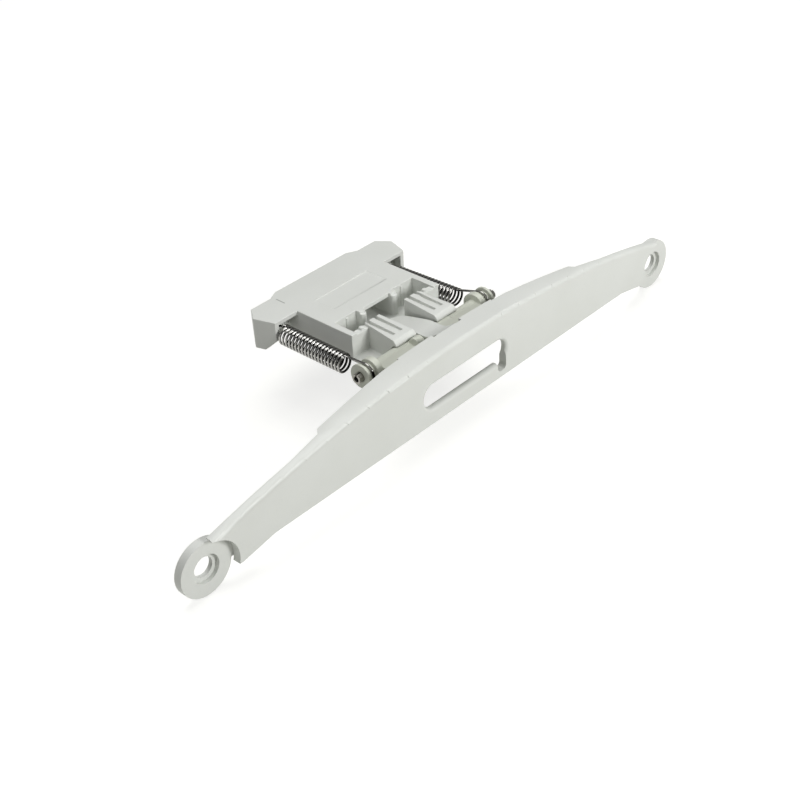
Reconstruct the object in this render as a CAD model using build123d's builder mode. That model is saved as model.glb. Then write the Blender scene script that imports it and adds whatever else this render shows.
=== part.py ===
"""Door lock of a tumble dryer: a bowed face bar with a spring-loaded catch behind it.

Millimetres. X runs along the bar, Y from the bar's front towards the catch, Z up.
The origin lies midway between the two screw eyelets, on their rear faces.
"""

from build123d import *
from math import cos, pi, radians, sin, sqrt
import os

# Screw eyelets at the two ends of the bar
eye_spacing = 224.6
eye_radius = 9.5
eye_thickness = 2.9
eye_hole_radius = 3.4
eye_counterbore_radius = 4.9
eye_counterbore_depth = 1.4
eye_recess_gap = 0.9

# Face plate of the bar
plate_thickness = 3.0
crown_height = 24.4
crown_radius = 455.0
lower_edge = -0.7
plate_end = 110.8
heel_depth = 2.4
heel_start = 88.0
heel_end = 101.0
ridge_round = 1.4

# Slot that the door's hook enters, with one deeper corner
slot_length = 41.2
slot_height = 8.94
slot_centre_z = 9.6
slot_rim = 1.35
notch_length = 4.3
notch_depth = 3.4
notch_corner = 1.6
notch_inset = 0.2

# Top flange behind the plate's upper edge
flange_thickness = 2.6
flange_depth = 8.5
flange_flat = 30.0
flange_wing = 62.5
flange_wing_depth = 6.0
flange_step = 1.6
flange_step_depth = 4.2
flange_end = 77.0
flange_notch_half = 6.8
flange_notch_depth = 0.7
tab_end = 23.2
tab_depth = 0.6

# Gussets between flange and plate, and the pads that back the eyelets
gusset_thickness = 1.6
gusset_height = 11.0
gusset_set_back = 1.0
gusset_places = (28.0, 45.0, 61.0)
pad_start = 92.0
pad_taper = 5.0
pad_bottom = -1.5
pad_top = 6.5

# Pivot pin: a rolled steel pin, with its slit
pin_y = 11.3
pin_drop = 6.3
pin_radius = 1.75
pin_bore_radius = 1.0
pin_slit = 0.5
pin_overhang = 2.7
running_gap = 0.03

# Tongue and knuckle of the bar that carry the pin
tongue_width = 9.0
tongue_thickness = 2.2
tongue_reach = 17.6
tongue_drop = 1.0
tongue_bend = 7.0
tongue_bend_height = 1.7
tongue_corner = 2.6
tongue_shoulder = 7.4
tongue_shoulder_drop = 1.4
tongue_neck = 4.6
tongue_neck_drop = 3.2
knuckle_wall = 1.0

# Rocker that turns on the pin
side_gap = 0.3
knuckle_clearance = 1.2
barrel_wall = 0.5
spool_room = 5.5
lug_radius = 4.3
lug_thickness = 2.4
groove_radius = 3.1
groove_width = 3.2
cheek_thickness = 1.0
rocker_shift = 0.8
shelf_reach = 6.6
shelf_top = 1.9
shelf_thickness = 1.4
knob_length = 3.2
knob_set_back = 1.5
knob_radius = 2.1
knob_height = 2.1
knob_reach = 2.8
step_length = 5.9
step_height = 0.5
nose_width = 28.0
nose_thickness = 3.2
nose_depth = 11.0
nose_rear = 3.0
nose_round = 0.8

# Carriage: T-shaped slider behind the rocker
top_height = 4.9
top_wall = 1.6
wall = 1.8
body_half = 21.5
body_front = 13.4
body_rear = 54.0
body_depth = 9.9
body_corner_width = 4.0
body_corner_depth = 2.0
ear_reach = 10.3
ear_flare = 2.5
ear_front = 38.9
ear_rear = 52.0
ear_depth = 11.5
ear_corner_width = 3.7
ear_corner_depth = 5.0
ear_rake = 3.4
ear_nose_height = 7.0
ear_slope = 4.6
pocket_inner = 9.0
pocket_side_wall = 2.5
pocket_rear = 23.6
pocket_rib_set_back = 5.6
pocket_rib_width = 1.0
pocket_rib_height = 0.5
window_half = 6.3
window_rear = 22.8
window_floor_rear = 32.5
rib_front = 20.6
rib_round = 1.2
rear_wall_face = 15.6
label_half = 12.9
label_front = 29.8
label_rear = 39.3
label_depth = 0.25

# Ramps of the carriage, one on each side of the tongue
ramp_front = 1.1
ramp_nose = -0.2
ramp_nose_height = 0.6
ramp_inner_front = 5.2
ramp_inner_rear = 6.1
bay_width_front = 6.5
bay_width_rear = 8.3
ramp_rear_height = 5.2
ramp_front_height = 4.5
ramp_roof = 1.5
ramp_wall = 1.6
groove_slot_width = 1.4
groove_slot_depth = 0.7
groove_slot_front = 3.7
groove_slot_places = (8.3, 11.9)
bay_floor_front = 5.0
bay_floor_thickness = 1.4
bay_wall_drop = 0.7
bay_knob_radius = 0.9
bay_knob_set_back = 2.4
follower_thickness = 2.0
follower_depth = 11.0
contact_gap = 0.3

# Springs
spring_radius = 3.15
wire_radius = 0.42
wire_sides = 6
hook_gap = 0.07
spring_turns = 19
spring_front = 9.8
spring_rear = 38.6
spring_drop_left = 0.85
spring_drop_right = 1.9
coil_lean = 0.9
coil_steps = 10
hook_start = 290
hook_turn = 200
loop_start = 80
loop_turn = 220
hook_steps = 12
anchor_radius = 1.3
anchor_y = 44.4

# Values worked out from the sizes above
eye_x = eye_spacing / 2
plate_rear = -eye_thickness
plate_front = plate_rear - plate_thickness
flange_rear = plate_front + flange_depth
pin_z = crown_height - pin_drop
knuckle_radius = pin_radius + knuckle_wall
barrel_radius = pin_radius + barrel_wall
lug_outer_face = body_half + spool_room
pocket_outer = body_half - pocket_side_wall
ramp_outer_front = body_half - bay_width_front
ramp_outer_rear = body_half - bay_width_rear
ear_half_front = body_half + ear_reach
ear_half = ear_half_front + ear_flare
recess_radius = eye_radius + eye_recess_gap
heel_z = lower_edge - heel_depth
tongue_half = tongue_width / 2
rocker_start = tongue_half + side_gap
lug_inner_face = lug_outer_face - lug_thickness
cheek_inner_face = lug_outer_face + groove_width
rocker_end = cheek_inner_face + cheek_thickness
pin_half = rocker_end + pin_overhang
bore_radius = pin_radius + running_gap
spring_x = lug_outer_face + groove_width / 2
follower_face = nose_rear + contact_gap
top = pin_z + top_height
underside = top - top_wall
body_bottom = top - body_depth
ear_bottom = top - ear_depth


def at_pin(y, z):
    """A point in the Y-Z plane, given from the pin's axis."""
    return (pin_y + y, pin_z + z)


def crown_at(x, drop=0.0):
    """Height at x of the bar's top edge, or of a line that runs drop below it."""
    radius = crown_radius - drop
    return crown_height - crown_radius + sqrt(radius**2 - x**2)


def both_ways(points):
    """A half outline in X, and the same half mirrored, as two lists of points."""
    return points, [(-x, y) for x, y in points]


# Bar: the flange is cut to the crown's curve, then come the plate and what it carries
with BuildPart() as handle_bar:
    with BuildSketch(Plane.XY) as flange_plan:
        with BuildLine():
            right, left = both_ways(
                [
                    (0, flange_rear),
                    (flange_flat, flange_rear),
                    (flange_wing, plate_front + flange_wing_depth),
                    (flange_wing + flange_step, plate_front + flange_step_depth),
                    (flange_end, plate_rear),
                    (flange_end, plate_front),
                ]
            )
            Polyline(*right)
            Polyline(*left)
            Line(right[-1], left[-1])
        make_face()
        with Locations((0, flange_rear)):
            Rectangle(2 * tab_end, 2 * tab_depth)
            Rectangle(
                2 * flange_notch_half,
                2 * flange_notch_depth,
                mode=Mode.SUBTRACT,
            )
    extrude(amount=crown_height + plate_thickness)
    with BuildSketch(Plane.XZ.offset(-pin_y)) as flange_band:
        with BuildLine():
            ends = (crown_at(plate_end), crown_at(plate_end, flange_thickness))
            for height, drop in zip(ends, (0, flange_thickness)):
                ThreePointArc((-plate_end, height), (0, crown_at(0, drop)), (plate_end, height))
            Line((-plate_end, ends[0]), (-plate_end, ends[1]))
            Line((plate_end, ends[0]), (plate_end, ends[1]))
        make_face()
    extrude(amount=pin_y - plate_front, mode=Mode.INTERSECT)

    with BuildSketch(Plane.XZ.offset(-plate_rear)) as plate_outline:
        with BuildLine():
            crown_tip = (plate_end, crown_at(plate_end))
            ThreePointArc((-plate_end, crown_tip[1]), (0, crown_height), crown_tip)
            right, left = both_ways(
                [
                    crown_tip,
                    (plate_end, heel_z),
                    (heel_end, heel_z),
                    (heel_start, lower_edge),
                ]
            )
            Polyline(*right)
            Polyline(*left)
            Line(right[-1], left[-1])
        make_face()
    extrude(amount=plate_thickness)
    front_face = handle_bar.faces().sort_by(Axis.Y)[0]
    fillet(front_face.edges().filter_by(GeomType.CIRCLE), radius=ridge_round)

    with BuildSketch(Plane.XZ.offset(-plate_rear)) as slot:
        with Locations((0, slot_centre_z)):
            SlotOverall(slot_length, slot_height)
    extrude(amount=plate_thickness, mode=Mode.SUBTRACT)
    slot_reach = slot_height / 2 + slot_rim
    slot_edges = (
        handle_bar.edges()
        .filter_by_position(Axis.X, -slot_length, slot_length)
        .filter_by_position(Axis.Z, slot_centre_z - slot_reach, slot_centre_z + slot_reach)
        .group_by(Axis.Y)
    )
    fillet(slot_edges[0] + slot_edges[-1], radius=slot_rim)
    with BuildSketch(Plane.XZ.offset(-plate_rear)) as notch:
        notch_middle = slot_length / 2 - notch_inset - notch_length / 2
        notch_height = slot_height / 2 + notch_depth
        with Locations((notch_middle, slot_centre_z - notch_height / 2)):
            Rectangle(notch_length, notch_height)
        fillet(notch.vertices().group_by(Axis.Y)[0], radius=notch_corner)
    extrude(amount=plate_thickness, mode=Mode.SUBTRACT)

    with BuildSketch(Plane.XY.offset(pad_bottom)) as eye_pads:
        for side in (-1, 1):
            Polygon(
                (side * pad_start, plate_rear - plate_thickness / 2),
                (side * pad_start, plate_rear),
                (side * (pad_start + pad_taper), 0),
                (side * eye_x, 0),
                (side * eye_x, plate_rear - plate_thickness / 2),
                align=None,
            )
    extrude(amount=pad_top - pad_bottom)
    with BuildSketch(Plane.XZ.offset(-plate_rear)) as eye_recess:
        with Locations((-eye_x, 0), (eye_x, 0)):
            Circle(recess_radius)
    extrude(amount=plate_thickness, mode=Mode.SUBTRACT)
    with BuildSketch(Plane.XZ) as eye_disc:
        with Locations((-eye_x, 0), (eye_x, 0)):
            Circle(eye_radius)
    extrude(amount=eye_thickness)
    with Locations(
        Plane(origin=(-eye_x, plate_rear, 0), z_dir=(0, -1, 0)),
        Plane(origin=(eye_x, plate_rear, 0), z_dir=(0, -1, 0)),
    ):
        CounterBoreHole(eye_hole_radius, eye_counterbore_radius, eye_counterbore_depth)

    for place in gusset_places:
        for side in (-1, 1):
            gusset_top = crown_at(place, flange_thickness / 2)
            with BuildSketch(Plane.YZ.offset(side * place - gusset_thickness / 2)) as gusset:
                Polygon(
                    (plate_rear - plate_thickness / 2, gusset_top),
                    (plate_front + flange_wing_depth - gusset_set_back, gusset_top),
                    (plate_rear, gusset_top - gusset_height),
                    (plate_rear - plate_thickness / 2, gusset_top - gusset_height),
                    align=None,
                )
            extrude(amount=gusset_thickness)

    with BuildSketch(Plane.YZ.offset(-tongue_half)) as tongue_side:
        root = (flange_rear - flange_notch_depth - plate_thickness / 2, crown_height)
        bends = [
            (pin_y - tongue_shoulder, crown_height - tongue_shoulder_drop),
            (pin_y - tongue_neck, crown_height - tongue_neck_drop),
            at_pin(0, knuckle_radius),
            at_pin(tongue_bend, tongue_bend_height),
            at_pin(tongue_reach, -tongue_drop),
        ]
        with BuildLine():
            Spline(root, *bends)
            Polyline(
                bends[-1],
                *[(y, z - tongue_thickness) for y, z in reversed(bends)],
                (root[0], crown_height - flange_thickness),
                root,
            )
        make_face()
        with Locations(at_pin(0, 0)):
            Circle(knuckle_radius)
    extrude(amount=tongue_width)
    tongue_end_edges = handle_bar.edges().filter_by(Axis.Z).group_by(Axis.Y)[-1]
    chamfer(tongue_end_edges, length=tongue_corner)
    with BuildSketch(Plane.YZ.offset(-tongue_half)) as knuckle_bore:
        with Locations(at_pin(0, 0)):
            Circle(bore_radius)
    extrude(amount=tongue_width, mode=Mode.SUBTRACT)
handle_bar.part.label = "handle_bar"

# Pin: rolled steel, open along its length
with BuildPart() as pivot_pin:
    with BuildSketch(Plane.YZ.offset(-pin_half)) as pin_section:
        with Locations(at_pin(0, 0)):
            Circle(pin_radius)
            Circle(pin_bore_radius, mode=Mode.SUBTRACT)
        with Locations(at_pin(0, pin_radius)):
            Rectangle(pin_slit, 2 * (pin_radius - pin_bore_radius / 2), mode=Mode.SUBTRACT)
    extrude(amount=2 * pin_half)
pivot_pin.part.label = "pivot_pin"

# Rocker: one half with its spring spool, mirrored, then what differs on each side
with BuildPart() as rocker:
    for side in (-1, 1):
        with BuildSketch(Plane.YZ.offset(side * rocker_start)) as barrel:
            with Locations(at_pin(0, 0)):
                Circle(barrel_radius)
            with Locations(at_pin(-shelf_reach / 2, shelf_top - shelf_thickness / 2)):
                Rectangle(shelf_reach, shelf_thickness)
            with Locations(at_pin(-barrel_radius / 2, shelf_top / 2)):
                Rectangle(barrel_radius, shelf_top)
        extrude(amount=side * (lug_inner_face - rocker_start) - rocker_shift)
        for start, length, radius in (
            (lug_inner_face, lug_thickness, lug_radius),
            (lug_outer_face, groove_width, groove_radius),
            (cheek_inner_face, cheek_thickness, lug_radius),
        ):
            with BuildSketch(Plane.YZ.offset(side * start - rocker_shift)) as spool:
                with Locations(at_pin(0, 0)):
                    Circle(radius)
            extrude(amount=side * length)
    with BuildSketch(Plane.YZ.offset(-nose_width / 2)) as nose:
        with Locations(at_pin(nose_rear - nose_thickness / 2, -nose_depth / 2)):
            Rectangle(nose_thickness, nose_depth)
        fillet(nose.vertices().group_by(Axis.Y)[0], radius=nose_round)
    extrude(amount=nose_width)
    with BuildSketch(Plane.YZ.offset(-rocker_start)) as knuckle_room:
        with Locations(at_pin(0, 0)):
            Circle(knuckle_radius + knuckle_clearance)
    extrude(amount=2 * rocker_start, mode=Mode.SUBTRACT)
    knob_face = -rocker_start - knob_set_back - knob_length
    with BuildSketch(Plane.YZ.offset(knob_face)) as knob:
        with Locations(at_pin(-knob_reach, knob_height)):
            Circle(knob_radius)
    extrude(amount=knob_length)
    with BuildSketch(Plane.YZ.offset(rocker_start)) as step:
        with Locations(at_pin(-shelf_reach / 2, shelf_top + step_height / 2)):
            Rectangle(shelf_reach, step_height)
    extrude(amount=step_length)
    with BuildSketch(Plane.YZ.offset(-rocker_end - rocker_shift)) as rocker_bore:
        with Locations(at_pin(0, 0)):
            Circle(bore_radius)
    extrude(amount=2 * rocker_end, mode=Mode.SUBTRACT)
rocker.part.label = "rocker"

# Carriage: T-shaped shell, open below, with the two ramps in front
with BuildPart() as latch_carriage:
    # Ramps: plan shape cut to the side profile, hollow from below
    with BuildSketch(Plane.XY.offset(body_bottom)) as ramp_plan:
        for side in (-1, 1):
            Polygon(
                (side * ramp_inner_front, pin_y + ramp_nose),
                (side * ramp_outer_front, pin_y + ramp_nose),
                (side * ramp_outer_rear, pin_y + rear_wall_face),
                (side * ramp_inner_rear, pin_y + rear_wall_face),
                align=None,
            )
    extrude(amount=2 * body_depth)
    with BuildSketch(Plane.YZ.offset(-ramp_outer_front)) as ramp_side:
        Polygon(
            at_pin(ramp_front, ramp_front_height),
            at_pin(rear_wall_face, ramp_rear_height),
            at_pin(rear_wall_face, top_height - body_depth),
            at_pin(follower_face, top_height - body_depth),
            at_pin(follower_face, 0),
            at_pin(ramp_nose, barrel_radius + contact_gap),
            at_pin(ramp_nose, barrel_radius + contact_gap + ramp_nose_height),
            align=None,
        )
        with Locations(at_pin(0, 0)):
            Circle(barrel_radius + contact_gap, mode=Mode.SUBTRACT)
    extrude(amount=2 * ramp_outer_front, mode=Mode.INTERSECT)
    with BuildSketch(Plane.XY.offset(pin_z + ramp_front_height - ramp_roof)) as ramp_hollow:
        for side in (-1, 1):
            Polygon(
                (side * (ramp_inner_front + ramp_wall), pin_y + follower_face + ramp_wall),
                (side * (ramp_outer_front - ramp_wall), pin_y + follower_face + ramp_wall),
                (side * (ramp_outer_rear - ramp_wall), pin_y + body_front),
                (side * (ramp_inner_rear + ramp_wall), pin_y + body_front),
                align=None,
            )
    extrude(amount=-body_depth, mode=Mode.SUBTRACT)
    with BuildSketch(Plane.XY.offset(pin_z + ramp_front_height - groove_slot_depth)) as ramp_slots:
        slot_middle = pin_y + (groove_slot_front + rear_wall_face) / 2
        for place in groove_slot_places:
            with Locations((-place, slot_middle), (place, slot_middle)):
                Rectangle(groove_slot_width, rear_wall_face - groove_slot_front)
    extrude(amount=body_depth, mode=Mode.SUBTRACT)

    # Ears: plan shape, raked behind and cut away in front, hollow from the front
    for side in (-1, 1):
        with BuildSketch(Plane.XY.offset(ear_bottom)) as ear_plan:
            Polygon(
                (side * pocket_outer, pin_y + ear_front),
                (side * ear_half_front, pin_y + ear_front),
                (side * ear_half, pin_y + ear_rear - ear_corner_depth),
                (side * (ear_half - ear_corner_width), pin_y + ear_rear),
                (side * pocket_outer, pin_y + ear_rear),
                align=None,
            )
        extrude(amount=ear_depth)
    with BuildSketch(Plane.YZ.offset(-ear_half)) as ear_cuts:
        Polygon(
            (pin_y + ear_rear, underside),
            (pin_y + ear_rear - ear_rake, ear_bottom),
            (pin_y + ear_rear, ear_bottom),
            align=None,
        )
        Polygon(
            (pin_y + ear_front, top - ear_nose_height),
            (pin_y + ear_front + ear_slope, ear_bottom),
            (pin_y + ear_front, ear_bottom),
            align=None,
        )
    extrude(amount=2 * ear_half, mode=Mode.SUBTRACT)
    for side in (-1, 1):
        with BuildSketch(Plane.XY.offset(ear_bottom)) as ear_room:
            Polygon(
                (side * body_half, pin_y + ear_front),
                (side * (ear_half_front - wall), pin_y + ear_front),
                (side * (ear_half - wall), pin_y + ear_rear - ear_rake - wall),
                (side * body_half, pin_y + ear_rear - ear_rake - wall),
                align=None,
            )
        extrude(amount=ear_depth - top_wall, mode=Mode.SUBTRACT)

    # Body: walls that hang from the top plate, then the plate with its window
    body_length = body_rear - body_front
    body_middle = pin_y + (body_front + body_rear) / 2
    right, left = both_ways(
        [
            (body_half, pin_y + body_front),
            (body_half, pin_y + body_rear - body_corner_depth),
            (body_half - body_corner_width, pin_y + body_rear),
        ]
    )
    body_outline = [*right, *reversed(left)]
    with BuildSketch(Plane.XY.offset(body_bottom)) as walls:
        Polygon(*body_outline, align=None)
        with Locations((0, body_middle - wall)):
            Rectangle(2 * pocket_outer, body_length, mode=Mode.SUBTRACT)
        with Locations((0, pin_y + pocket_rear + wall / 2)):
            Rectangle(2 * body_half, wall)
        rib_middle = pin_y + (rib_front + body_rear) / 2
        rib_place = (window_half + pocket_inner) / 2
        with Locations((-rib_place, rib_middle), (rib_place, rib_middle)):
            Rectangle(pocket_inner - window_half, body_rear - rib_front)
        with Locations(
            (pocket_rib_set_back - pocket_outer, pin_y + pocket_rear),
            (pocket_outer - pocket_rib_set_back, pin_y + pocket_rear),
        ):
            Rectangle(pocket_rib_width, 2 * pocket_rib_height)
        with Locations((0, rib_middle - wall)):
            Rectangle(2 * window_half, body_rear - rib_front, mode=Mode.SUBTRACT)
        rib_tips = walls.vertices().filter_by_position(
            Axis.Y, pin_y + rib_front - contact_gap, pin_y + rib_front + contact_gap
        )
        fillet(rib_tips, radius=rib_round)
    extrude(amount=body_depth - top_wall / 2)
    with BuildSketch(Plane.XY.offset(underside)) as top_plate:
        Polygon(*body_outline, align=None)
        with BuildLine():
            right, left = both_ways(
                [
                    (0, pin_y + window_rear),
                    (window_half, pin_y + window_rear),
                    (window_half, pin_y + rib_front + rib_round),
                    (pocket_inner, pin_y + rib_front + rib_round),
                    (pocket_inner, pin_y + pocket_rear),
                    (pocket_outer, pin_y + pocket_rear),
                    (pocket_outer, pin_y + body_front),
                ]
            )
            Polyline(*right)
            Polyline(*left)
            Line(right[-1], left[-1])
        make_face(mode=Mode.SUBTRACT)
    extrude(amount=top_wall)
    with BuildSketch(Plane.XY.offset(top - label_depth)) as label_recess:
        with Locations((0, pin_y + (label_front + label_rear) / 2)):
            Rectangle(2 * label_half, label_rear - label_front)
    extrude(amount=label_depth, mode=Mode.SUBTRACT)

    # Floor below the pockets and the window
    with BuildSketch(Plane.XY.offset(body_bottom)) as window_floor:
        with Locations((0, pin_y + (body_front + pocket_rear + wall) / 2)):
            Rectangle(2 * body_half, pocket_rear + wall - body_front)
        with Locations((0, pin_y + (pocket_rear + window_floor_rear) / 2)):
            Rectangle(2 * pocket_inner, window_floor_rear - pocket_rear)
    extrude(amount=bay_floor_thickness)

    # Walls and floors of the bays beside the ramps
    bay_wall_top = top - bay_wall_drop
    bay_inner = ramp_outer_rear - ramp_wall
    bay_middle = (bay_inner + body_half) / 2
    bay_knob_place = ramp_outer_rear + bay_knob_set_back
    with BuildSketch(Plane.XY.offset(body_bottom)) as bay_walls:
        with Locations(
            (-bay_middle, pin_y + (body_front + rear_wall_face) / 2),
            (bay_middle, pin_y + (body_front + rear_wall_face) / 2),
        ):
            Rectangle(body_half - bay_inner, rear_wall_face - body_front)
    extrude(amount=bay_wall_top - body_bottom)
    with BuildSketch(Plane.XY.offset(body_bottom)) as bay_floors:
        with Locations(
            (-bay_middle, pin_y + (bay_floor_front + body_front) / 2),
            (bay_middle, pin_y + (bay_floor_front + body_front) / 2),
        ):
            Rectangle(body_half - bay_inner, body_front - bay_floor_front)
    extrude(amount=bay_floor_thickness)
    with BuildSketch(Plane.XY.offset(bay_wall_top - bay_knob_radius)) as bay_knobs:
        with Locations(
            (-bay_knob_place, pin_y + rear_wall_face - bay_knob_radius),
            (bay_knob_place, pin_y + rear_wall_face - bay_knob_radius),
        ):
            Circle(bay_knob_radius)
    extrude(amount=2 * bay_knob_radius)

    # Follower below the tongue, which the rocker's nose pushes back
    with BuildSketch(Plane.YZ.offset(-ramp_outer_front)) as follower:
        with Locations(
            at_pin(
                follower_face + follower_thickness / 2,
                (top_height - body_depth - follower_depth) / 2 + bay_floor_thickness / 2,
            )
        ):
            Rectangle(
                follower_thickness,
                follower_depth + top_height - body_depth + bay_floor_thickness,
            )
    extrude(amount=2 * ramp_outer_front)

    # Pegs inside the ears that hold the springs
    for side, drop in ((-1, spring_drop_left), (1, spring_drop_right)):
        with BuildSketch(Plane.YZ.offset(side * body_half)) as anchor:
            with Locations(at_pin(anchor_y, -drop)):
                Circle(anchor_radius)
        extrude(amount=side * (ear_half_front - body_half))
latch_carriage.part.label = "latch_carriage"


def spring_line(side, drop):
    """Points along one spring's wire, from the hook on the spool to the hook in the ear."""
    hook_x = side * spring_x - rocker_shift
    coil_x = hook_x - side * coil_lean
    hook_radius = groove_radius + wire_radius + hook_gap
    loop_radius = anchor_radius + wire_radius + hook_gap
    axis_z = pin_z - drop
    points = []
    for step in range(hook_steps + 1):
        turn = radians(hook_start - hook_turn * step / hook_steps)
        points.append((hook_x, pin_y + hook_radius * cos(turn), pin_z + hook_radius * sin(turn)))
    coil_y = pin_y + spring_front
    coil_length = spring_rear - spring_front
    for step in range(coil_steps * spring_turns + 1):
        share = step / (coil_steps * spring_turns)
        turn = 2 * pi * step / coil_steps
        points.append(
            (
                coil_x + side * spring_radius * sin(turn),
                coil_y + coil_length * share,
                axis_z + spring_radius * cos(turn),
            )
        )
    for step in range(hook_steps + 1):
        turn = radians(loop_start - loop_turn * step / hook_steps)
        points.append(
            (
                coil_x,
                pin_y + anchor_y + loop_radius * cos(turn),
                axis_z + loop_radius * sin(turn),
            )
        )
    return [Vector(*point) for point in points]


def spring_planes(points):
    """A plane square to the wire at each point, carried along without twist."""
    planes = []
    across = Vector(1, 0, 0)
    for index, point in enumerate(points):
        before = points[max(index - 1, 0)]
        after = points[min(index + 1, len(points) - 1)]
        along = (after - before).normalized()
        across = (across - along * across.dot(along)).normalized()
        planes.append(Plane(origin=point, x_dir=across, z_dir=along))
    return planes


# Springs: wire of a few flat sides, lofted along the coil and its hooks
springs = []
for side, drop, name in (
    (-1, spring_drop_left, "spring_left"),
    (1, spring_drop_right, "spring_right"),
):
    with BuildPart() as spring:
        for plane in spring_planes(spring_line(side, drop)):
            with BuildSketch(plane):
                RegularPolygon(radius=wire_radius, side_count=wire_sides)
        loft(ruled=True)
    spring.part.label = name
    springs.append(spring)

os.makedirs("parts", exist_ok=True)
for piece in (handle_bar, pivot_pin, rocker, latch_carriage, *springs):
    export_step(piece.part, f"parts/{piece.part.label}.step")
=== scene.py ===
from math import cos, pi, radians, sin

import bmesh
import bpy
from mathutils import Matrix, Vector


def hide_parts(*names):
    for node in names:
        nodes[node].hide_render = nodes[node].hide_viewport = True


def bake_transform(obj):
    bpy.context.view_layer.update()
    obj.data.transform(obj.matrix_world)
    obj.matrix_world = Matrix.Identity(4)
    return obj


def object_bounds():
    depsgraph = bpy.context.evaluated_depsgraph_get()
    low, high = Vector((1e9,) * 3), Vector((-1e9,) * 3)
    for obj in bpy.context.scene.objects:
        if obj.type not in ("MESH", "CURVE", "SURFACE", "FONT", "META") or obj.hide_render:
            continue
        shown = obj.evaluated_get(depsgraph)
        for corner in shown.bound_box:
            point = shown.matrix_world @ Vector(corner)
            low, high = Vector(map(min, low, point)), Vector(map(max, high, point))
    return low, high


# %% [markdown]
# # Dryer door lock
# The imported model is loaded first. It is in metres, with the origin midway between
# the two screw eyelets and +Y pointing back from the bar's face.

# %% Load the frame
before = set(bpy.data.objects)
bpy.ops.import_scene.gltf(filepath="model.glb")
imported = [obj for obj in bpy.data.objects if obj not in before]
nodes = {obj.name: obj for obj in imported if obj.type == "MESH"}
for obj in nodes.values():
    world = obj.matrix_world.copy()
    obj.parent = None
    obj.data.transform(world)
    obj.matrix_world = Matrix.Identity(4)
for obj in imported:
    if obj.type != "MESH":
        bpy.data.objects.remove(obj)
mm = 0.001
cad_box = [list(corner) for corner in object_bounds()]
print("nodes:", sorted(nodes))

# %% [markdown]
# ## Camera
# One pinhole camera was fitted to the photo, from the eyelets, the pin's end discs,
# the slot and the catch plate. Its place, turn and focal length are given here.

# %% Camera
camera_place = Vector((-294.2, -257.9, 268.4)) * mm
camera_azimuth = radians(46.11)
camera_elevation = radians(34.69)
camera_roll = radians(-2.92)

forward = Vector(
    (
        sin(camera_azimuth) * cos(camera_elevation),
        cos(camera_azimuth) * cos(camera_elevation),
        -sin(camera_elevation),
    )
)
level = Vector((cos(camera_azimuth), -sin(camera_azimuth), 0))
upright = level.cross(forward)
right = level * cos(camera_roll) + upright * sin(camera_roll)
up = upright * cos(camera_roll) - level * sin(camera_roll)

camera_data = bpy.data.cameras.new("photo_camera")
camera_data.lens = 63.95
camera_data.sensor_width = 36
camera_data.clip_start = 0.01
camera = bpy.data.objects.new("photo_camera", camera_data)
camera.matrix_world = Matrix(
    (
        (right.x, up.x, -forward.x, camera_place.x),
        (right.y, up.y, -forward.y, camera_place.y),
        (right.z, up.z, -forward.z, camera_place.z),
        (0, 0, 0, 1),
    )
)
bpy.context.scene.collection.objects.link(camera)
bpy.context.scene.camera = camera
print("camera at", [round(v, 4) for v in camera_place])

# %% [markdown]
# ## Shader maths
# A small wrapper, so that a material's formulas read as formulas.


# %% Wrapper for shader maths
class Maths:
    """A socket that can be added to and multiplied by others or by numbers."""

    def __init__(self, tree, socket):
        self.tree = tree
        self.socket = socket

    def step(self, operation, *others, clamp=False):
        node = self.tree.nodes.new("ShaderNodeMath")
        node.operation = operation
        node.use_clamp = clamp
        self.tree.links.new(self.socket, node.inputs[0])
        for place, other in enumerate(others, start=1):
            if isinstance(other, Maths):
                self.tree.links.new(other.socket, node.inputs[place])
            else:
                node.inputs[place].default_value = other
        return Maths(self.tree, node.outputs[0])

    def __add__(self, other):
        return self.step("ADD", other)

    def __mul__(self, other):
        return self.step("MULTIPLY", other)

    def between(self, low, high, way="SMOOTHSTEP"):
        """0 at low, 1 at high, and smooth or linear in between."""
        node = self.tree.nodes.new("ShaderNodeMapRange")
        node.interpolation_type = way
        node.inputs["From Min"].default_value = low
        node.inputs["From Max"].default_value = high
        self.tree.links.new(self.socket, node.inputs["Value"])
        return Maths(self.tree, node.outputs["Result"])


def new_material(name):
    """A material with its tree, its shader and its object coordinates."""
    material = bpy.data.materials.new(name)
    material.use_nodes = True
    tree = material.node_tree
    shader = tree.nodes["Principled BSDF"]
    place = tree.nodes.new("ShaderNodeTexCoord").outputs["Object"]
    return material, tree, shader, place


def noise(tree, place, scale, detail=3.0, stretch=(1, 1, 1)):
    """Noise of a scale in features per metre, stretched along the axes."""
    mapping = tree.nodes.new("ShaderNodeMapping")
    mapping.inputs["Scale"].default_value = stretch
    tree.links.new(place, mapping.inputs["Vector"])
    node = tree.nodes.new("ShaderNodeTexNoise")
    node.inputs["Scale"].default_value = scale
    node.inputs["Detail"].default_value = detail
    tree.links.new(mapping.outputs["Vector"], node.inputs["Vector"])
    return Maths(tree, node.outputs["Fac"])


def split_place(tree, place):
    """The x, y and z of a place, in metres."""
    split = tree.nodes.new("ShaderNodeSeparateXYZ")
    tree.links.new(place, split.inputs["Vector"])
    return [Maths(tree, output) for output in split.outputs]


def mix_colours(tree, share, first, second):
    """first where share is 0, second where it is 1."""
    node = tree.nodes.new("ShaderNodeMix")
    node.data_type = "RGBA"
    tree.links.new(share.socket, node.inputs["Factor"])
    for socket, colour in zip((node.inputs[6], node.inputs[7]), (first, second)):
        if isinstance(colour, tuple):
            socket.default_value = (*colour, 1)
        else:
            tree.links.new(colour, socket)
    return node.outputs[2]


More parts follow.
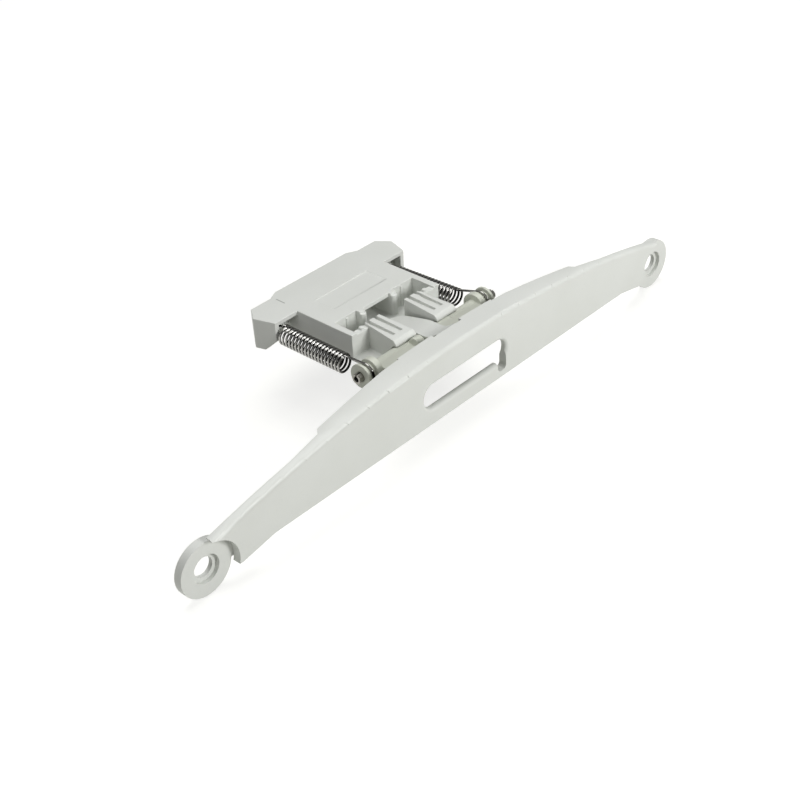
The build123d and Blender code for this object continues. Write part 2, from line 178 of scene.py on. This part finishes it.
def add_bump(tree, shader, height, distance, strength):
    """Raises the surface by height times distance, in metres."""
    node = tree.nodes.new("ShaderNodeBump")
    node.inputs["Distance"].default_value = distance
    node.inputs["Strength"].default_value = strength
    tree.links.new(height.socket, node.inputs["Height"])
    tree.links.new(node.outputs["Normal"], shader.inputs["Normal"])


# %% [markdown]
# ## Sizes of the springs
# The wire's material and its shape both need them. Pairs are keyed by side: -1 is the
# left spring, 1 the right one.

# %% Spring sizes, in millimetres
left, right_side = -1, 1
pin_y, pin_z = 11.3, 18.1
groove_x = {left: -29.4, right_side: 27.8}
coil_x = {left: -28.5, right_side: 26.9}
spring_drop = {left: 0.85, right_side: 1.9}
coil_sag = {left: 0.0, right_side: 0.9}
spring_radius = 3.15
wire_radius = 0.42
wire_sides = 12
spring_turns = 19
turn_steps = 32
front_hook_start, front_hook_turn = 290, 200
rear_hook_start, rear_hook_turn = 80, 220
spring_front, spring_rear = 9.8, 38.6
front_hook_radius = 3.59
rear_hook_radius = 1.79
anchor_y = 44.4
coil_start = pin_y + spring_front
coil_end = pin_y + spring_rear
print("coil from", coil_start, "to", coil_end, "with", spring_turns, "turns")

# %% [markdown]
# ## Materials
# The bar and the carriage are pale moulded plastic with a soft sheen, hardly any
# texture, and a faint unevenness from moulding. The rocker's plastic is the same pale
# plastic made a little darker and yellower, as painted shade for the shade it sits in.
# The springs are drawn wire, bright outside, with painted shade inside the coil, and
# the pin is plain steel. The carriage's left ear has one short slit, drawn as painted
# shade.


# %% Sizes for the materials
# The slit in the carriage's left ear, drawn as painted shade, in millimetres
slit_left, slit_right = -20.85, -20.3
slit_front, slit_rear = 56.9, 61.5
slit_fade_x, slit_fade_y = 0.15, 0.4
slit_shade_darkness = 0.5
# Where the wire turns from painted shade to its bright colour, in millimetres from its
# centre line
painted_shade_inside = 0.1
bright_outside = 0.36
# Noise, in features per metre
wave_scale = 140
cloud_scale = 60
gloss_scale = 180
speck_scale = 900
grain_scale = 2600
patch_scale = 220
line_scale = 900
wire_line_scale = 1200
# Depth of the bumps, in metres
plastic_bump = 0.00004
steel_bump = 0.00002
print("slit from", slit_front, "to", slit_rear)


# %% Materials
def slit_shade_mask(tree, place):
    """1 inside the slit's painted shade, 0 outside; only the carriage reaches to where it
    is.
    """
    x, y, _ = split_place(tree, place)
    mask = x.between(slit_left * mm, (slit_left + slit_fade_x) * mm)
    mask = mask * x.between(slit_right * mm, (slit_right - slit_fade_x) * mm)
    mask = mask * y.between(slit_front * mm, (slit_front + slit_fade_y) * mm)
    return mask * y.between(slit_rear * mm, (slit_rear - slit_fade_y) * mm)


def moulded_plastic(name, colour, shade, roughness):
    """Moulded plastic: faint clouding of colour, fine grain, slightly uneven gloss."""
    material, tree, shader, place = new_material(name)
    cloud = noise(tree, place, cloud_scale).between(0.3, 0.7)
    specks = noise(tree, place, speck_scale, detail=2).between(0.62, 0.78)
    base = mix_colours(tree, cloud * 0.6, colour, shade)
    speck = tuple(c * 0.93 for c in shade)
    base = mix_colours(tree, specks * 0.25, base, speck)
    # The slit is painted shade: the plastic's darker tone at half brightness where the
    # slit is.
    painted_slit_shade = tuple(c * slit_shade_darkness for c in shade)
    base = mix_colours(tree, slit_shade_mask(tree, place), base, painted_slit_shade)
    tree.links.new(base, shader.inputs["Base Color"])
    gloss = noise(tree, place, gloss_scale) * 0.12 + (roughness - 0.06)
    tree.links.new(gloss.socket, shader.inputs["Roughness"])
    grain = noise(tree, place, grain_scale, detail=2) * 0.35
    grain = grain + noise(tree, place, wave_scale)
    add_bump(tree, shader, grain, plastic_bump, 0.5)
    shader.inputs["IOR"].default_value = 1.49
    return material


def distance_from_coil(tree, place):
    """How far a place is from the middle line of the coil on its side, in metres."""
    x, y, z = split_place(tree, place)
    on_right = x.step("GREATER_THAN", 0.0)
    coil_difference = -coil_x[left] - coil_x[right_side]
    drop_difference = spring_drop[right_side] - spring_drop[left]
    sideways = x.step("ABSOLUTE") + on_right * (coil_difference * mm)
    sideways = sideways + coil_x[left] * mm
    share = y.between(coil_start * mm, coil_end * mm, "LINEAR")
    above = z + (spring_drop[left] - pin_z) * mm
    above = above + on_right * (drop_difference * mm)
    above = above + on_right * share * (coil_sag[right_side] * mm)
    return (sideways * sideways + above * above).step("SQRT")


def spring_steel(name, colour, dark, roughness):
    """Drawn wire, bright on the coil's outside, with painted shade where its turns face
    inwards.
    """
    material, tree, shader, place = new_material(name)
    # Painted shade: the wire is near black where its turns face the coil's inside.
    outside = distance_from_coil(tree, place).between(
        (spring_radius - painted_shade_inside) * mm, (spring_radius + bright_outside) * mm
    )
    tree.links.new(mix_colours(tree, outside, dark, colour), shader.inputs["Base Color"])
    lines = noise(tree, place, wire_line_scale)
    tree.links.new((lines * 0.1 + roughness).socket, shader.inputs["Roughness"])
    shader.inputs["Metallic"].default_value = 1.0
    return material


def drawn_steel(name, colour, dark, roughness, stretch):
    """Bare steel with fine lines along its length and slightly duller patches."""
    material, tree, shader, place = new_material(name)
    lines = noise(tree, place, line_scale, stretch=stretch)
    patches = noise(tree, place, patch_scale).between(0.35, 0.75)
    tree.links.new(
        mix_colours(tree, patches * 0.5, colour, dark), shader.inputs["Base Color"]
    )
    tree.links.new(
        (lines * 0.15 + patches * 0.12 + roughness).socket, shader.inputs["Roughness"]
    )
    shader.inputs["Metallic"].default_value = 1.0
    add_bump(tree, shader, lines, steel_bump, 0.4)
    return material


white = moulded_plastic("white_plastic", (0.72, 0.735, 0.70), (0.69, 0.705, 0.665), 0.42)
# The rocker's darker, yellower plastic is the pale plastic with painted shade for the
# shade it sits in.
grey = moulded_plastic("grey_plastic", (0.64, 0.66, 0.575), (0.60, 0.62, 0.535), 0.4)
# The wire's near-black colour is painted shade inside the coil; the lighter colour is the
# steel's own.
wire = spring_steel("spring_wire", (0.42, 0.415, 0.395), (0.012, 0.0115, 0.01), 0.14)
steel = drawn_steel("pin_steel", (0.36, 0.35, 0.32), (0.2, 0.19, 0.16), 0.3, (0.05, 1, 1))
print("materials:", [m.name for m in (white, grey, wire, steel)])


# %% [markdown]
# ## Moulded pieces
# The CAD nodes keep their shape. Their faces are joined, and the normals lean on the
# large faces, so that flat walls stay flat. The small mouldings get a narrow bevel that
# catches the light. The bar keeps the edges it has, because its bowed ridge is rounded,
# and its narrow triangles along the ridge are joined away.


# %% Finish the CAD nodes
fine_join = 0.001
bar_join = 0.12
bevel_segments = 2
bevel_angle = radians(38)
crisp_angle = radians(50)
face_weight = 80


def finish_node(name, material, width, join=fine_join):
    """Gives a node its material, joins its faces and rounds its edges, in millimetres."""
    obj = nodes[name]
    for slot in obj.material_slots:
        slot.material = material
    weld = obj.modifiers.new("join", "WELD")
    weld.merge_threshold = join * mm
    if width > 0:
        bevel = obj.modifiers.new("edges", "BEVEL")
        bevel.width = width * mm
        bevel.segments = bevel_segments
        bevel.limit_method = "ANGLE"
        bevel.angle_limit = bevel_angle
        bevel.use_clamp_overlap = False
        bevel.loop_slide = False
    else:
        crisp = obj.modifiers.new("crisp", "EDGE_SPLIT")
        crisp.split_angle = crisp_angle
        crisp.use_edge_sharp = False
    normals = obj.modifiers.new("normals", "WEIGHTED_NORMAL")
    normals.weight = face_weight
    normals.keep_sharp = False
    print(name, "faces:", len(obj.data.polygons))


finish_node("handle_bar", white, 0, join=bar_join)
finish_node("latch_carriage", white, 0.25)
finish_node("rocker", grey, 0.2)
finish_node("pivot_pin", steel, 0.08)

# %% [markdown]
# ## Springs
# Each spring is round wire wound on a smooth coil, with a hook round the rocker's
# spool and another round the peg in the carriage's ear. It stretches between the
# bar and the carriage.

# %% The wire
def spring_path(side):
    """Points along the wire's centre line, in millimetres."""
    axis_z = pin_z - spring_drop[side]
    path = []
    for step in range(turn_steps + 1):
        turn = radians(front_hook_start - front_hook_turn * step / turn_steps)
        path.append(
            (
                groove_x[side],
                pin_y + front_hook_radius * cos(turn),
                pin_z + front_hook_radius * sin(turn),
            )
        )
    steps = turn_steps * spring_turns
    for step in range(steps + 1):
        turn = 2 * pi * step / turn_steps
        path.append(
            (
                coil_x[side] + side * spring_radius * sin(turn),
                coil_start + (coil_end - coil_start) * step / steps,
                axis_z - coil_sag[side] * step / steps + spring_radius * cos(turn),
            )
        )
    for step in range(turn_steps + 1):
        turn = radians(rear_hook_start - rear_hook_turn * step / turn_steps)
        path.append(
            (
                coil_x[side],
                pin_y + anchor_y + rear_hook_radius * cos(turn),
                axis_z + rear_hook_radius * sin(turn),
            )
        )
    return [Vector(point) * mm for point in path]


def wire_mesh(name, path, radius):
    """A closed tube of round wire along a path, with pointed ends."""
    mesh = bpy.data.meshes.new(name)
    bm = bmesh.new()
    rings = []
    across = Vector((1, 0, 0))
    for index, point in enumerate(path):
        before = path[max(index - 1, 0)]
        after = path[min(index + 1, len(path) - 1)]
        along = (after - before).normalized()
        across = (across - along * across.dot(along)).normalized()
        other = along.cross(across)
        ring = []
        for side in range(wire_sides):
            turn = 2 * pi * side / wire_sides
            ring.append(
                bm.verts.new(point + (across * cos(turn) + other * sin(turn)) * radius)
            )
        rings.append(ring)
    for first, second in zip(rings, rings[1:]):
        for side in range(wire_sides):
            following = (side + 1) % wire_sides
            bm.faces.new((first[side], first[following], second[following], second[side]))
    for ring, outward in ((rings[0], path[0] - path[1]), (rings[-1], path[-1] - path[-2])):
        tip = bm.verts.new(
            sum((vert.co for vert in ring), Vector()) / wire_sides
            + outward.normalized() * radius * 0.5
        )
        for side in range(wire_sides):
            bm.faces.new((ring[side], ring[(side + 1) % wire_sides], tip))
    bmesh.ops.recalc_face_normals(bm, faces=bm.faces)
    for face in bm.faces:
        face.smooth = True
    bm.to_mesh(mesh)
    bm.free()
    obj = bpy.data.objects.new(name, mesh)
    bpy.context.scene.collection.objects.link(obj)
    return obj


# %% Springs
for side, name in ((left, "spring_left"), (right_side, "spring_right")):
    spring = wire_mesh(name + "_wire", spring_path(side), wire_radius * mm)
    spring.data.materials.append(wire)
    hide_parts(name)
    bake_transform(spring)
    print(spring.name, "faces:", len(spring.data.polygons))

# %% [markdown]
# ## Stage
# A plain pale floor under the bar, white to the camera as in the photo, and soft
# light from above, from in front and a little from the left.

# %% Floor and world
floor_size = 12.0
floor_gap = 0.5 * mm
floor_colour = (0.45, 0.45, 0.42)
floor_glow = 0.7
world_strength = 0.18
lamp_target = Vector((0, 0.02, 0.01))

floor_mesh = bpy.data.meshes.new("floor")
bm = bmesh.new()
bmesh.ops.create_grid(bm, x_segments=1, y_segments=1, size=floor_size)
bm.to_mesh(floor_mesh)
bm.free()
floor = bpy.data.objects.new("floor", floor_mesh)
floor.location = (0, 0, cad_box[0][2] - floor_gap)
bpy.context.scene.collection.objects.link(floor)

world = bpy.data.worlds.new("studio")
world.use_nodes = True
bpy.context.scene.world = world
background = world.node_tree.nodes["Background"]
background.inputs["Color"].default_value = (1, 1, 1, 1)
background.inputs["Strength"].default_value = world_strength
print("floor at", floor.location.z)


# %% Lamps
def lamp(name, place, size, energy):
    """A soft square lamp that faces the target; places are in metres, energy in watts."""
    data = bpy.data.lights.new(name, "AREA")
    data.size = size
    data.energy = energy
    obj = bpy.data.objects.new(name, data)
    obj.location = place
    obj.rotation_mode = "QUATERNION"
    aim = lamp_target - Vector(place)
    obj.rotation_quaternion = aim.to_track_quat("-Z", "Y")
    bpy.context.scene.collection.objects.link(obj)
    print("lamp", name, energy, "W")


lamp("overhead", (0.06, 0.22, 0.95), 0.7, 5.6)
lamp("front", (0.14, -0.68, 0.32), 0.26, 3.8)
lamp("left", (-0.75, -0.05, 0.22), 0.3, 0.45)

# %% [markdown]
# ## Floor's material
# The floor glows only for camera, glossy and transmission rays, so that it's white in
# the picture, keeps the object's shadow and adds no light to the object.

# %% Floor's material
floor_material = bpy.data.materials.new("floor_white")
floor_material.use_nodes = True
tree = floor_material.node_tree
floor_shader = tree.nodes["Principled BSDF"]
floor_shader.inputs["Base Color"].default_value = (*floor_colour, 1)
floor_shader.inputs["Roughness"].default_value = 0.9
floor_shader.inputs["Emission Color"].default_value = (1, 1, 1, 1)
path_node = tree.nodes.new("ShaderNodeLightPath")
seen = Maths(tree, path_node.outputs["Is Camera Ray"])
seen = seen + Maths(tree, path_node.outputs["Is Glossy Ray"])
seen = seen.step("ADD", Maths(tree, path_node.outputs["Is Transmission Ray"]), clamp=True)
tree.links.new((seen * floor_glow).socket, floor_shader.inputs["Emission Strength"])
floor_mesh.materials.append(floor_material)
print("floor material:", floor_material.name)

# %% View settings and sizes
bpy.context.scene.view_settings.view_transform = "Standard"
print("cad box:", cad_box)
